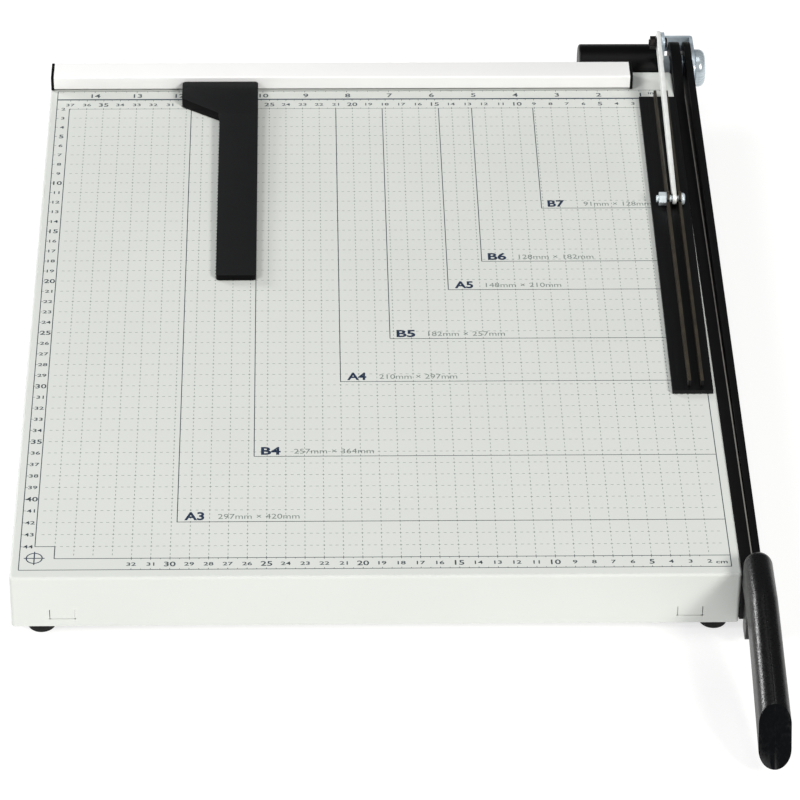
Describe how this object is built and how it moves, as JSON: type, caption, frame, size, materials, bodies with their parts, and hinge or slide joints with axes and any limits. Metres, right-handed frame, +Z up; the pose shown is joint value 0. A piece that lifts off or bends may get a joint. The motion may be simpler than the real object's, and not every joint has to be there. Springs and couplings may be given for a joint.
{
  "type": "guillotine paper cutter",
  "caption": "Guillotine paper cutter: printed steel table, rear fence with sliding stop, ribbed paper clamp on a link, and a hinged blade arm with a moulded handle.",
  "frame": {"origin": "centre of the whole model's box at its bottom, on the surface the feet stand on", "axes": "+Z up, -Y towards the operator, +X towards the blade side"},
  "size_m": [0.4004, 0.6378, 0.0655],
  "materials": {
    "white_enamel": "smooth powder-coated steel, off-white with printed scales",
    "fence_white": "smooth white powder coat",
    "black_enamel": "satin black paint with a ground steel edge",
    "clamp_black": "black anodised aluminium extrusion",
    "stop_plastic": "moulded black plastic, fine texture",
    "handle_plastic": "moulded black plastic, spark-eroded texture, polished end",
    "cap_plastic": "moulded black plastic",
    "zinc_plate": "bright zinc plating",
    "link_chrome": "bright nickel plating",
    "bolt_chrome": "polished nickel plating",
    "spring_steel": "oiled spring steel",
    "foot_rubber": "black rubber",
    "bush_brass": "turned brass",
    "galvanised": "galvanised sheet"
  },
  "bodies": {
    "base": {"base_tray": "white_enamel", "stiffener_left": "galvanised", "stiffener_right": "galvanised", "feet": "foot_rubber", "foot_screws": "zinc_plate", "bed_knife": "black_enamel", "knife_screws": "zinc_plate", "knife_nuts": "zinc_plate", "fence": "fence_white", "fence_screws": "zinc_plate", "fence_cap_left": "cap_plastic", "fence_cap_right": "cap_plastic", "pivot_bracket": "zinc_plate", "bracket_screws": "zinc_plate", "bracket_nuts": "zinc_plate", "pivot_bolt": "bolt_chrome", "inner_washer": "zinc_plate", "outer_washer": "zinc_plate", "pivot_nut": "zinc_plate", "lock_nut": "zinc_plate", "spring_collar": "zinc_plate", "spring_seat": "zinc_plate", "pivot_spring": "spring_steel", "spring_cover": "cap_plastic", "link_bolt": "zinc_plate", "link_nut": "zinc_plate"},
    "arm": {"moving_blade": "black_enamel", "pivot_bush": "bush_brass", "handle_left": "handle_plastic", "handle_right": "handle_plastic", "handle_screws": "zinc_plate"},
    "link": {"clamp_link": "link_chrome"},
    "clamp": {"clamp_bar": "clamp_black", "clamp_bolt": "zinc_plate", "clamp_nut": "zinc_plate"},
    "stop": {"paper_stop": "stop_plastic", "stop_tongue": "galvanised", "stop_rivets": "zinc_plate"}
  },
  "joints": [
    {"name": "arm_hinge", "type": "hinge", "parent": "base", "child": "arm", "pos_m": [0.1888, 0.29971, 0.033], "axis": [-1, 0, 0], "range_deg": [0, 75]},
    {"name": "link_hinge", "type": "hinge", "parent": "base", "child": "link", "pos_m": [0.1697, 0.28571, 0.06], "axis": [-1, 0.0075, 0], "range_deg": [0, 30]},
    {"name": "clamp_tilt", "type": "hinge", "parent": "link", "child": "clamp", "pos_m": [0.16857, 0.13571, 0.0463], "axis": [-1, 0.0075, 0], "range_deg": [-4, 0]},
    {"name": "stop_slide", "type": "slide", "parent": "base", "child": "stop", "axis": [1, 0, 0], "range_m": [-0.075, 0.22]}
  ],
  "couplings": [
    {"joint": "clamp_tilt", "follows": "link_hinge", "ratio": -0.13}
  ]
}
